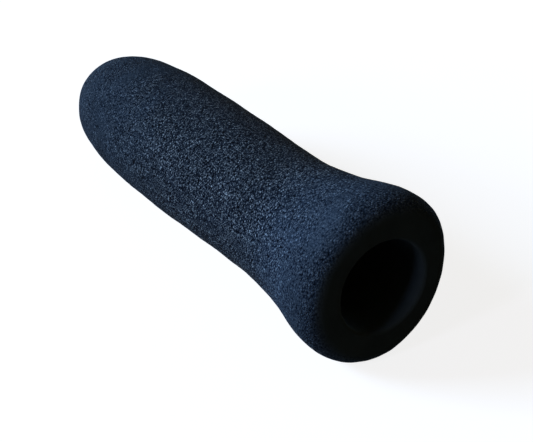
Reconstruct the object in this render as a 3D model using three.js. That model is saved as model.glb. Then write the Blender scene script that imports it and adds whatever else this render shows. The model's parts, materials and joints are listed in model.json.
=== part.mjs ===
// Foam hand grip for a handlebar: one moulded sleeve with a domed, closed end and a flared mouth.
// Millimetres, +Z up. It lies on its side, mouth towards +X and dome towards -X, on z = 0.

import * as THREE from 'three';

// The bore that the bar goes into: a 22.2 mm bar stretches it a little
const boreDiameter = 22;
const boreEndRounding = 3;
const boreRimRounding = 0.7;

// Foam left round the bore, at the stations along the grip
const faceWidth = 4.3;
const crestWall = 8.2;
const waistWall = 4.85;
const swellWall = 6.05;
const endWall = 12;

// Stations, measured from the mouth face along the axis
const crestDepth = 5.5;
const waistDepth = 39;
const swellDepth = 94;
const length = 133.5;

// How far each curve keeps its end's direction, as a share of the stretch that it crosses
const flareCrestHold = 0.26;
const flareWaistHold = 0.65;
const barrelWaistHold = 0.3;
const barrelSwellHold = 0.59;
const domeSwellHold = 0.85;
const domeTipHold = 0.6;

// The flare isn't quite round: it is wider across one diameter and has a flatter side
const flareOval = 0.8;
const flareOvalAngle = THREE.MathUtils.degToRad(32);
const flareFlat = 0.25;
const flareFlatAngle = THREE.MathUtils.degToRad(38);

// Soft foam settles by this much where it lies
const restFlat = 0.5;

// Fineness of the faceted solid
const sides = 48;
const roundingSteps = 3;
const boreSteps = 6;
const lipSteps = 7;
const flareSteps = 14;
const barrelSteps = 12;
const domeSteps = 16;

// Sizes that follow
const boreRadius = boreDiameter / 2;
const boreDepth = length - endWall;
const faceRadius = boreRadius + faceWidth;
const crestRadius = boreRadius + crestWall;
const waistRadius = boreRadius + waistWall;
const swellRadius = boreRadius + swellWall;

// A point of the half section: x is the distance from the axis, y the depth from the mouth face
function point(radius, depth) {
  return new THREE.Vector2(radius, depth);
}

// A smooth stretch between two stations where the surface runs parallel to the axis
function sweep(from, to, holdFrom, holdTo, steps) {
  const span = to.y - from.y;
  const curve = new THREE.CubicBezierCurve(
    from,
    point(from.x, from.y + holdFrom * span),
    point(to.x, to.y - holdTo * span),
    to,
  );
  return curve.getPoints(steps);
}

// The blind bore, from the middle of its end out to its rim
function borePoints() {
  const endCorner = new THREE.EllipseCurve(
    boreRadius - boreEndRounding, boreDepth - boreEndRounding,
    boreEndRounding, boreEndRounding, Math.PI / 2, 0, true,
  );
  const wall = new THREE.LineCurve(
    point(boreRadius, boreDepth - boreEndRounding),
    point(boreRadius, boreRimRounding),
  );
  const rim = new THREE.EllipseCurve(
    boreRadius + boreRimRounding, boreRimRounding,
    boreRimRounding, boreRimRounding, Math.PI, Math.PI * 1.5, false,
  );
  return [
    point(0, boreDepth),
    ...endCorner.getPoints(roundingSteps),
    ...wall.getPoints(boreSteps).slice(1),
    ...rim.getPoints(roundingSteps).slice(1),
  ];
}

// The outside, from the edge of the mouth face over lip, flare, waist and palm swell to the tip
function skinPoints() {
  const crest = point(crestRadius, crestDepth);
  const waist = point(waistRadius, waistDepth);
  const swell = point(swellRadius, swellDepth);
  const lip = new THREE.EllipseCurve(
    faceRadius, crestDepth,
    crestRadius - faceRadius, crestDepth, -Math.PI / 2, 0, false,
  );
  const dome = new THREE.CubicBezierCurve(
    swell,
    point(swellRadius, swellDepth + domeSwellHold * (length - swellDepth)),
    point(domeTipHold * swellRadius, length),
    point(0, length),
  );
  return [
    ...lip.getPoints(lipSteps),
    ...sweep(crest, waist, flareCrestHold, flareWaistHold, flareSteps).slice(1),
    ...sweep(waist, swell, barrelWaistHold, barrelSwellHold, barrelSteps).slice(1),
    ...dome.getPoints(domeSteps).slice(1),
  ];
}

// How far the flare stands off its mean circle. The angle runs from the top towards +Y.
// The unevenness is full from face to crest, fades out at the waist and leaves the bore round.
function flareStandOff(radius, depth, angle) {
  const fade = 1 - THREE.MathUtils.smoothstep(depth, crestDepth, waistDepth);
  const share = THREE.MathUtils.clamp((radius - boreRadius) / faceWidth, 0, 1);
  const oval = flareOval * Math.cos(2 * (angle - flareOvalAngle));
  const flat = flareFlat * Math.cos(3 * (angle - flareFlatAngle));
  return fade * share * (oval + flat);
}

// The angle at which the grip lies: the line under it that touches both the flare and the swell
function restTilt(skin) {
  const under = skin.map((p) => point(p.x + flareStandOff(p.x, p.y, Math.PI), p.y));
  const mouthSide = under.filter((p) => p.y <= waistDepth);
  const domeSide = under.filter((p) => p.y > waistDepth);
  const slopes = mouthSide.map((near) => {
    return Math.max(...domeSide.map((far) => (far.x - near.x) / (far.y - near.y)));
  });
  return Math.atan(Math.min(...slopes));
}

function gripGeometry() {
  const skin = skinPoints();
  const half = Math.PI / sides;
  const geometry = new THREE.LatheGeometry([...borePoints(), ...skin], sides, half);
  const position = geometry.attributes.position;

  for (let i = 0; i < position.count; i += 1) {
    const across = position.getX(i);
    const depth = position.getY(i);
    const up = position.getZ(i);
    const radius = Math.hypot(across, up);
    if (radius <= boreRadius) continue;
    const grown = 1 + flareStandOff(radius, depth, Math.atan2(across, up)) / radius;
    position.setXYZ(i, across * grown, depth, up * grown);
  }

  // Lay it down: the lathe's axis goes to -X, then the dome drops until the swell touches
  geometry.rotateZ(Math.PI / 2);
  geometry.rotateY(restTilt(skin));

  geometry.computeBoundingBox();
  const floor = geometry.boundingBox.min.z + restFlat;
  for (let i = 0; i < position.count; i += 1) {
    position.setZ(i, Math.max(position.getZ(i), floor));
  }

  // The origin is under the middle of the grip, on the surface that it lies on
  geometry.computeBoundingBox();
  const middle = geometry.boundingBox.getCenter(new THREE.Vector3());
  geometry.translate(-middle.x, -middle.y, -floor);
  geometry.computeVertexNormals();
  return geometry;
}

const foam = new THREE.MeshStandardMaterial({ color: '#2a313b', roughness: 0.95, metalness: 0 });

const grip = new THREE.Mesh(gripGeometry(), foam);
grip.name = 'foam_grip';

const group = new THREE.Group();
group.add(grip);

export default group;
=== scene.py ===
import bmesh
import bpy
import json
import math
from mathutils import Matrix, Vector, geometry, noise


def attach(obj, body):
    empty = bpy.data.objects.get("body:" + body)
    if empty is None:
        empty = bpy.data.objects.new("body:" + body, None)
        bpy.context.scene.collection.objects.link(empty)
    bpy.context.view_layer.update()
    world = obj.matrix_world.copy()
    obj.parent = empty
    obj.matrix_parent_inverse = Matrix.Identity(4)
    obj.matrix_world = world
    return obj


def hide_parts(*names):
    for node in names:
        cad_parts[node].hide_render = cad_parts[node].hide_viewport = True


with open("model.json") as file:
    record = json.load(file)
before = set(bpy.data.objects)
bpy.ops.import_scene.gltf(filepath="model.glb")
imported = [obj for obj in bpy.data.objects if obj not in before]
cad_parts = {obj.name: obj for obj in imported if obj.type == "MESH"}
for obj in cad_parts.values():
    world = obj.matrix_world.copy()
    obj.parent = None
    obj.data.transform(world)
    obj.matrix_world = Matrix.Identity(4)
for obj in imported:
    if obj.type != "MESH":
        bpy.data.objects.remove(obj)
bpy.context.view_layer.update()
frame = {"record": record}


# Camera. The photograph looks down on the grip past its mouth, from about a forearm's length away.
# The lens and the distance together give the narrowing from mouth to dome.
MM = 0.001
view_azimuth = math.radians(57.56)
view_elevation = math.radians(29.5)
view_distance = 290 * MM
view_aim = Vector((19.94, 0.39, 13.19)) * MM
image_width = 533
focal_length_in_pixels = 1200
sensor_width = 36

camera_data = bpy.data.cameras.new("camera")
camera_data.sensor_width = sensor_width
camera_data.lens = focal_length_in_pixels / image_width * sensor_width
camera_data.clip_start = 5 * MM
camera_data.clip_end = 20
camera = bpy.data.objects.new("camera", camera_data)
bpy.context.scene.collection.objects.link(camera)


def towards(azimuth, elevation):
    """A direction from its angles: the azimuth is 0 on the -Y side and grows towards +X."""
    return Vector((
        math.sin(azimuth) * math.cos(elevation),
        -math.cos(azimuth) * math.cos(elevation),
        math.sin(elevation),
    ))


towards_camera = towards(view_azimuth, view_elevation)
camera.location = view_aim + towards_camera * view_distance
camera.rotation_euler = (-towards_camera).to_track_quat("-Z", "Y").to_euler()
bpy.context.scene.camera = camera


# The sleeve, half section. The real one is a single tube of closed-cell foam, closed and domed at one
# end, which is ground to shape on a spindle: a flare at the mouth, a waist, and a swell under the palm.
bore_radius = 11 * MM
bore_end_rounding = 3 * MM
bore_rim_rounding = 0.7 * MM
face_radius = 15.3 * MM
crest_radius, crest_depth = 19.2 * MM, 5.5 * MM
waist_radius, waist_depth = 15.85 * MM, 39 * MM
swell_radius, swell_depth = 17.05 * MM, 94 * MM
grip_length = 133.5 * MM
bore_depth = grip_length - 12 * MM

# How far each curve keeps its end's direction, as a share of the stretch that it crosses
flare_crest_hold, flare_waist_hold = 0.26, 0.65
barrel_waist_hold, barrel_swell_hold = 0.3, 0.59
dome_swell_hold, dome_tip_hold = 0.85, 0.6
quarter_arc_hold = 0.5523


def half_section_point(depth, radius):
    """A point of the half section, at a depth from the mouth face along the axis."""
    return Vector((depth, radius, 0))


def curve_between(start, start_handle, end_handle, end, steps):
    """Points of one cubic stretch, without its first."""
    return geometry.interpolate_bezier(start, start_handle, end_handle, end, steps + 1)[1:]


def sweep(start, end, start_hold, end_hold, steps):
    """A stretch that runs parallel to the axis at both ends."""
    span = end.x - start.x
    leave = half_section_point(start.x + start_hold * span, start.y)
    arrive = half_section_point(end.x - end_hold * span, end.y)
    return curve_between(start, leave, arrive, end, steps)


def straight(start, end, steps):
    """Evenly spaced points, without the first."""
    return [start.lerp(end, (i + 1) / steps) for i in range(steps)]


bore_end = half_section_point(bore_depth, 0)
bore_corner_start = half_section_point(bore_depth, bore_radius - bore_end_rounding)
bore_corner_end = half_section_point(bore_depth - bore_end_rounding, bore_radius)
rim_start = half_section_point(bore_rim_rounding, bore_radius)
rim_end = half_section_point(0, bore_radius + bore_rim_rounding)
face_edge = half_section_point(0, face_radius)
crest = half_section_point(crest_depth, crest_radius)
waist = half_section_point(waist_depth, waist_radius)
swell = half_section_point(swell_depth, swell_radius)
tip = half_section_point(grip_length, 0)
bore_turn = quarter_arc_hold * bore_end_rounding
rim_turn = quarter_arc_hold * bore_rim_rounding

bore_section = [
    bore_end,
    *straight(bore_end, bore_corner_start, steps=6),
    *curve_between(
        bore_corner_start,
        bore_corner_start + Vector((0, bore_turn, 0)),
        bore_corner_end + Vector((bore_turn, 0, 0)),
        bore_corner_end, steps=4,
    ),
    *straight(bore_corner_end, rim_start, steps=24),
    *curve_between(
        rim_start,
        rim_start - Vector((rim_turn, 0, 0)),
        rim_end - Vector((0, rim_turn, 0)),
        rim_end, steps=5,
    ),
]
skin_section = [
    *straight(rim_end, face_edge, steps=8),
    *curve_between(
        face_edge,
        face_edge + Vector((0, quarter_arc_hold * (crest_radius - face_radius), 0)),
        crest - Vector((quarter_arc_hold * crest_depth, 0, 0)),
        crest, steps=15,
    ),
    *sweep(crest, waist, flare_crest_hold, flare_waist_hold, steps=70),
    *sweep(waist, swell, barrel_waist_hold, barrel_swell_hold, steps=118),
    *curve_between(
        swell,
        swell + Vector((dome_swell_hold * (grip_length - swell_depth), 0, 0)),
        half_section_point(grip_length, dome_tip_hold * swell_radius),
        tip, steps=100,
    ),
]

# The sleeve, turned. The section is spun round the bore's axis, which runs through the record's bar stop
# at the bore's closed end. The grip lies on its flare and its swell, so the axis is tilted a little.
sides = 256
merge_distance, sliver_length = 0.01 * MM, 0.005 * MM
bar_stop = next(m for m in frame["record"]["mounts"] if m["name"] == "bar_stop")
mouthwards = Vector(bar_stop["axis"]).normalized()
sideways = Vector((0, 1, 0))
upwards = mouthwards.cross(sideways)
mouth_centre = Vector(bar_stop["pos_m"]) + mouthwards * bore_depth

sleeve = bmesh.new()
from_skin = sleeve.verts.layers.int.new("from_skin")
outline = []
for is_skin, points in enumerate((bore_section, skin_section)):
    for p in points:
        vert = sleeve.verts.new(mouth_centre - mouthwards * p.x + upwards * p.y)
        vert[from_skin] = is_skin
        outline.append(vert)
edges = [sleeve.edges.new(pair) for pair in zip(outline, outline[1:])]
bmesh.ops.spin(
    sleeve, geom=outline + edges, cent=mouth_centre, axis=mouthwards,
    angle=2 * math.pi, steps=sides, use_merge=True, use_duplicate=False,
)
bmesh.ops.remove_doubles(sleeve, verts=sleeve.verts, dist=merge_distance)
bmesh.ops.dissolve_degenerate(sleeve, edges=sleeve.edges, dist=sliver_length)
bmesh.ops.recalc_face_normals(sleeve, faces=sleeve.faces)

# The sleeve, worked by hand and wheel. Grinding leaves the flare wider across one diameter, with one
# flatter side, and the whole skin softly uneven. The bore stays round, as its spindle held it.
flare_oval, flare_oval_angle = 0.8 * MM, math.radians(32)
flare_flat, flare_flat_angle = 0.25 * MM, math.radians(38)
lip_turn_depth = crest_depth / 2
wave_length, wave_height = 9 * MM, 0.16 * MM
lump_length, lump_height = 2.2 * MM, 0.05 * MM
settled_edge = 0.12 * MM

# How coarsely each part is ground, in patches where it is smoother: 0 leaves the mouth's face even
barrel_grinding, flare_grinding, dome_grinding = 1.3, 0.36, 0.5
flare_smoothing_end = 34 * MM
dome_smoothing_start, dome_smoothing_end = 66 * MM, 110 * MM
patch_length, patchiness = 6 * MM, 1.1

# How pale each part is: palest in the flare's hollow, and the bore's wall painted paler near the mouth as
# painted light that fades inward
barrel_paling = 0.5
hollow_paling_depth, hollow_paling_reach = 17 * MM, 13 * MM
bore_painted_light, bore_painted_light_start, bore_painted_light_reach = 0.7, 3 * MM, 15 * MM


def fade(value, start, end):
    """From 1 at start smoothly down to 0 at end."""
    t = min(max((value - start) / (end - start), 0), 1)
    return 1 - t * t * (3 - 2 * t)


ground = sleeve.verts.layers.float.new("ground")
paling_and_painted_light = sleeve.verts.layers.float.new("paling_and_painted_light")
for vert in sleeve.verts:
    offset = vert.co - mouth_centre
    depth = -offset.dot(mouthwards)
    up, side = offset.dot(upwards), offset.dot(sideways)
    radius = math.hypot(up, side)
    if not vert[from_skin]:
        # Painted light: the bore's wall is paler near the mouth and fades inward, where light reaches just
        # inside
        vert[paling_and_painted_light] = bore_painted_light * (1 - fade(depth, 0, bore_painted_light_start)) * math.exp(-depth / bore_painted_light_reach)
        continue

    at_mouth = fade(depth, 0, lip_turn_depth)
    off_face = 1 - at_mouth * fade(radius, face_radius, crest_radius)
    smooth_flare = (1 - flare_grinding) * fade(depth, crest_depth, flare_smoothing_end)
    smooth_dome = (1 - dome_grinding) * (1 - fade(depth, dome_smoothing_start, dome_smoothing_end))
    smoothness = smooth_flare + smooth_dome
    patchy = 1 + patchiness * smoothness * noise.noise(vert.co / patch_length)
    vert[ground] = barrel_grinding * (1 - smoothness) * off_face * patchy
    # Paler and bluer in the flare's hollow
    hollow_paling = math.exp(-((depth - hollow_paling_depth) / hollow_paling_reach) ** 2)
    vert[paling_and_painted_light] = off_face * (barrel_paling + (1 - barrel_paling) * hollow_paling)

    off_bore = 1 - at_mouth * fade(radius, bore_radius, face_radius)
    angle = math.atan2(side, up)
    oval = flare_oval * math.cos(2 * (angle - flare_oval_angle))
    flat = flare_flat * math.cos(3 * (angle - flare_flat_angle))
    outwards = upwards * math.cos(angle) + sideways * math.sin(angle)
    vert.co += outwards * (fade(depth, crest_depth, waist_depth) * off_bore * (oval + flat))
    wave = wave_height * noise.noise(vert.co / wave_length)
    lump = lump_height * noise.noise(vert.co / lump_length)
    vert.co += vert.normal * off_bore * (wave + lump)

# Soft foam settles flat where it lies
for vert in sleeve.verts:
    z = vert.co.z
    vert.co.z = (z + math.hypot(z, settled_edge)) / 2

for face in sleeve.faces:
    face.smooth = True
mesh = bpy.data.meshes.new("grip_foam")
sleeve.to_mesh(mesh)
sleeve.free()
grip = bpy.data.objects.new("grip_foam", mesh)
bpy.context.scene.collection.objects.link(grip)


# The sleeve's finish: black closed-cell rubber foam, matte, with a cool blue cast. The grinding wheel
# opens its cells, which leaves a fine pebbled grain of pale cells; their near-black gaps are partly the
# grain and partly painted shade of the pits, and their bright middles partly painted highlight. It is
# coarse on the barrel, finer on flare and dome, and absent from the mouth's cut face and the bore.
def from_hex(code):
    """An sRGB hex colour as linear red, green, blue and alpha."""
    parts = [int(code[i:i + 2], 16) / 255 for i in (1, 3, 5)]
    return [c / 12.92 if c <= 0.04045 else ((c + 0.055) / 1.055) ** 2.4 for c in parts] + [1]


def add_node(material, kind, settings=None, links=None):
    """Adds a node: settings are its attributes or input values, links its inputs' sources."""
    node = material.node_tree.nodes.new(kind)
    for name, value in (settings or {}).items():
        if isinstance(name, str) and hasattr(node, name):
            setattr(node, name, value)
        else:
            node.inputs[name].default_value = value
    for name, source in (links or {}).items():
        material.node_tree.links.new(source, node.inputs[name])
    return node


# The cells are 0.44 mm across and shorter along the grip, as coarse as a render needs to show them.
# They differ in how far they stand out, their edges carry painted shade, and the fullest of them carry
# painted glints.
cell_width, cell_squash = 0.44 * MM, 1.5
cell_relief = 0.2 * MM
least_fullness = 0.5
cell_brightness = 5.0
painted_glint_start, painted_glint_brightness = 0.75, 2.4
relief_per_grinding = 2
mottle_length, mottle_depth = 7 * MM, 0.15
# The near-black gap colour is painted shade of the pits; the pale middle colour is partly painted
# highlight
gap_height, gap_shade_colour = 0.12, "#020409"
slope_colours = {0.24: "#2a323b", 0.36: "#58595d", 0.48: "#8c8580"}
middle_height, middle_and_highlight_colour = 0.66, "#e8d8c6"
# The palest colour is the flare's hollow, and painted light on the bore's wall near the mouth
face_colour, barrel_colour, pale_and_painted_light_colour = "#333c3c", "#323e4a", "#3c4b5b"

foam = bpy.data.materials.new("ground_closed_cell_foam")
foam.use_nodes = True
foam.node_tree.nodes.clear()
place = add_node(foam, "ShaderNodeTexCoord")
along_grip = add_node(
    foam, "ShaderNodeMapping",
    {"Rotation": (0, math.atan2(mouthwards.z, mouthwards.x), 0), "Scale": (cell_squash, 1, 1)},
    {"Vector": place.outputs["Object"]},
)
is_ground = add_node(foam, "ShaderNodeAttribute", {"attribute_name": "ground"})
paling_and_painted_light_share = add_node(foam, "ShaderNodeAttribute", {"attribute_name": "paling_and_painted_light"})

cells = add_node(
    foam, "ShaderNodeTexVoronoi", {"Scale": 1 / cell_width},
    {"Vector": along_grip.outputs["Vector"]},
)
from_edge = add_node(
    foam, "ShaderNodeMath", {"operation": "SUBTRACT", 0: 1}, {1: cells.outputs["Distance"]},
)
cell_fullness = add_node(
    foam, "ShaderNodeMath", {"operation": "MULTIPLY_ADD", 1: 1 - least_fullness, 2: least_fullness},
    {0: cells.outputs["Color"]},
)
cell_height = add_node(
    foam, "ShaderNodeMath", {"operation": "MULTIPLY"},
    {0: from_edge.outputs["Value"], 1: cell_fullness.outputs["Value"]},
)
# The cell colour runs from near black at the gaps to pale at the middle: partly the grain's own tone,
# partly painted shade of the pits and painted highlight on the cell tops
cell_colour = add_node(foam, "ShaderNodeValToRGB", links={"Fac": cell_height.outputs["Value"]})
cell_ramp = cell_colour.color_ramp
cell_ramp.elements[0].position = gap_height
cell_ramp.elements[0].color = from_hex(gap_shade_colour)
cell_ramp.elements[1].position = middle_height
cell_ramp.elements[1].color = from_hex(middle_and_highlight_colour)
for height, colour in slope_colours.items():
    cell_ramp.elements.new(height).color = from_hex(colour)

# The power of a cell's shade is how coarsely its place is ground, so an even place keeps the skin's colour
cell_contrast = add_node(
    foam, "ShaderNodeVectorMath", {"operation": "SCALE", "Scale": cell_brightness},
    {"Vector": cell_colour.outputs["Color"]},
)
cell_shade = add_node(
    foam, "ShaderNodeGamma",
    links={"Color": cell_contrast.outputs["Vector"], "Gamma": is_ground.outputs["Fac"]},
)
# Skin colour by paleness; on the bore's wall near the mouth this paleness is painted light
skin_colour = add_node(foam, "ShaderNodeValToRGB", links={"Fac": paling_and_painted_light_share.outputs["Fac"]})
skin_ramp = skin_colour.color_ramp
skin_ramp.elements[0].color = from_hex(face_colour)
skin_ramp.elements[1].color = from_hex(pale_and_painted_light_colour)
skin_ramp.elements.new(barrel_paling).color = from_hex(barrel_colour)
grained_colour = add_node(
    foam, "ShaderNodeMix", {"data_type": "RGBA", "blend_type": "MULTIPLY", 0: 1},
    {6: skin_colour.outputs["Color"], 7: cell_shade.outputs["Color"]},
)
mottle = add_node(
    foam, "ShaderNodeTexNoise", {"Scale": 1 / mottle_length, "Detail": 2},
    {"Vector": place.outputs["Object"]},
)
mottle_shade = add_node(
    foam, "ShaderNodeMapRange",
    {"From Min": 0.3, "From Max": 0.7, "To Min": 1 - mottle_depth, "To Max": 1 + mottle_depth},
    {"Value": mottle.outputs["Fac"]},
)
relief_share = add_node(
    foam, "ShaderNodeMath", {"operation": "MULTIPLY", "use_clamp": True, 1: relief_per_grinding},
    {0: is_ground.outputs["Fac"]},
)
# Painted glints: the fullest cells' colour is brightened up to 2.4 times, standing in for highlights
painted_glint = add_node(
    foam, "ShaderNodeMapRange",
    {"From Min": painted_glint_start, "From Max": 1, "To Min": 1, "To Max": painted_glint_brightness},
    {"Value": cells.outputs["Color"]},
)
painted_glint_shade = add_node(
    foam, "ShaderNodeMath", {"operation": "POWER"},
    {0: painted_glint.outputs["Result"], 1: relief_share.outputs["Value"]},
)
uneven_shade = add_node(
    foam, "ShaderNodeMath", {"operation": "MULTIPLY"},
    {0: mottle_shade.outputs["Result"], 1: painted_glint_shade.outputs["Value"]},
)
foam_colour = add_node(
    foam, "ShaderNodeMix", {"data_type": "RGBA", "blend_type": "MULTIPLY", 0: 1},
    {6: grained_colour.outputs[2], 7: uneven_shade.outputs["Value"]},
)
cell_bump = add_node(
    foam, "ShaderNodeBump", {"Distance": cell_relief, "invert": True},
    {"Strength": relief_share.outputs["Value"], "Height": cells.outputs["Distance"]},
)
surface = add_node(
    foam, "ShaderNodeBsdfPrincipled",
    {"Roughness": 0.9, "IOR": 1.45, "Specular IOR Level": 0.02},
    {"Base Color": foam_colour.outputs[2], "Normal": cell_bump.outputs["Normal"]},
)
add_node(foam, "ShaderNodeOutputMaterial", links={"Surface": surface.outputs["BSDF"]})
grip.data.materials.append(foam)

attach(grip, "root")
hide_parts("foam_grip")


# Floor and backdrop. A sheet of white paper: what the camera sees of it is white with the grip's soft
# shadow, and the light that it sends back up is dim. It glows more away from the grip, where it would
# otherwise turn grey against the backdrop.
floor_size = 6
shadow_glow, shadow_reach = 0.84, 0.1
white_glow, white_reach = 1, 0.5

floor_mesh = bpy.data.meshes.new("floor")
sheet = bmesh.new()
bmesh.ops.create_grid(sheet, x_segments=1, y_segments=1, size=floor_size)
sheet.to_mesh(floor_mesh)
sheet.free()
floor = bpy.data.objects.new("floor", floor_mesh)
bpy.context.scene.collection.objects.link(floor)


def direct_view(material):
    """1 on rays from the camera, in reflections and through glass, 0 on the light that falls on things."""
    path = add_node(material, "ShaderNodeLightPath")
    seen = add_node(
        material, "ShaderNodeMath", {"operation": "MAXIMUM"},
        {0: path.outputs["Is Camera Ray"], 1: path.outputs["Is Glossy Ray"]},
    )
    return add_node(
        material, "ShaderNodeMath", {"operation": "MAXIMUM"},
        {0: seen.outputs["Value"], 1: path.outputs["Is Transmission Ray"]},
    )


paper = bpy.data.materials.new("white_paper")
paper.use_nodes = True
paper.node_tree.nodes.clear()
dim_paper = add_node(paper, "ShaderNodeBsdfDiffuse", {"Color": from_hex("#303030")})
shaded_paper = add_node(paper, "ShaderNodeBsdfDiffuse", {"Color": from_hex("#b0b0b0")})
paper_place = add_node(paper, "ShaderNodeTexCoord")
from_grip = add_node(
    paper, "ShaderNodeVectorMath", {"operation": "LENGTH"}, {0: paper_place.outputs["Object"]},
)
glow_strength = add_node(
    paper, "ShaderNodeMapRange",
    {
        "From Min": shadow_reach, "From Max": white_reach,
        "To Min": shadow_glow, "To Max": white_glow,
    },
    {"Value": from_grip.outputs["Value"]},
)
glow = add_node(
    paper, "ShaderNodeEmission", {"Color": from_hex("#ffffff")},
    {"Strength": glow_strength.outputs["Result"]},
)
white_paper = add_node(
    paper, "ShaderNodeAddShader",
    links={0: shaded_paper.outputs["BSDF"], 1: glow.outputs["Emission"]},
)
paper_mix = add_node(
    paper, "ShaderNodeMixShader",
    links={
        0: direct_view(paper).outputs["Value"],
        1: dim_paper.outputs["BSDF"],
        2: white_paper.outputs["Shader"],
    },
)
add_node(paper, "ShaderNodeOutputMaterial", links={"Surface": paper_mix.outputs["Shader"]})
floor.data.materials.append(paper)

studio = bpy.data.worlds.new("studio")
bpy.context.scene.world = studio
studio.use_nodes = True
studio.node_tree.nodes.clear()
ambient = add_node(studio, "ShaderNodeBackground", {"Color": from_hex("#ffd890"), "Strength": 0.06})
backdrop = add_node(studio, "ShaderNodeBackground", {"Color": from_hex("#ffffff"), "Strength": 1})
studio_mix = add_node(
    studio, "ShaderNodeMixShader",
    links={
        0: direct_view(studio).outputs["Value"],
        1: ambient.outputs["Background"],
        2: backdrop.outputs["Background"],
    },
)
add_node(studio, "ShaderNodeOutputWorld", links={"Surface": studio_mix.outputs["Shader"]})


# Light. A broad, low window on the dome side leaves the mouth's face in shade, and a small lamp nearer
# the camera reaches just inside the bore.
lamp_distance = 1.6


def soft_lamp(name, azimuth, elevation, size, power, colour):
    """A square area lamp that looks at the grip, from angles in degrees."""
    data = bpy.data.lights.new(name, "AREA")
    data.shape = "SQUARE"
    data.size = size
    data.energy = power
    data.color = from_hex(colour)[:3]
    lamp = bpy.data.objects.new(name, data)
    direction = towards(math.radians(azimuth), math.radians(elevation))
    lamp.location = view_aim + direction * lamp_distance
    lamp.rotation_euler = (-direction).to_track_quat("-Z", "Y").to_euler()
    bpy.context.scene.collection.objects.link(lamp)


soft_lamp("window", azimuth=-36, elevation=26, size=0.6, power=28, colour="#c4deff")
soft_lamp("room", azimuth=9, elevation=22, size=0.25, power=5, colour="#d6daf8")

bpy.context.scene.view_settings.view_transform = "Standard"
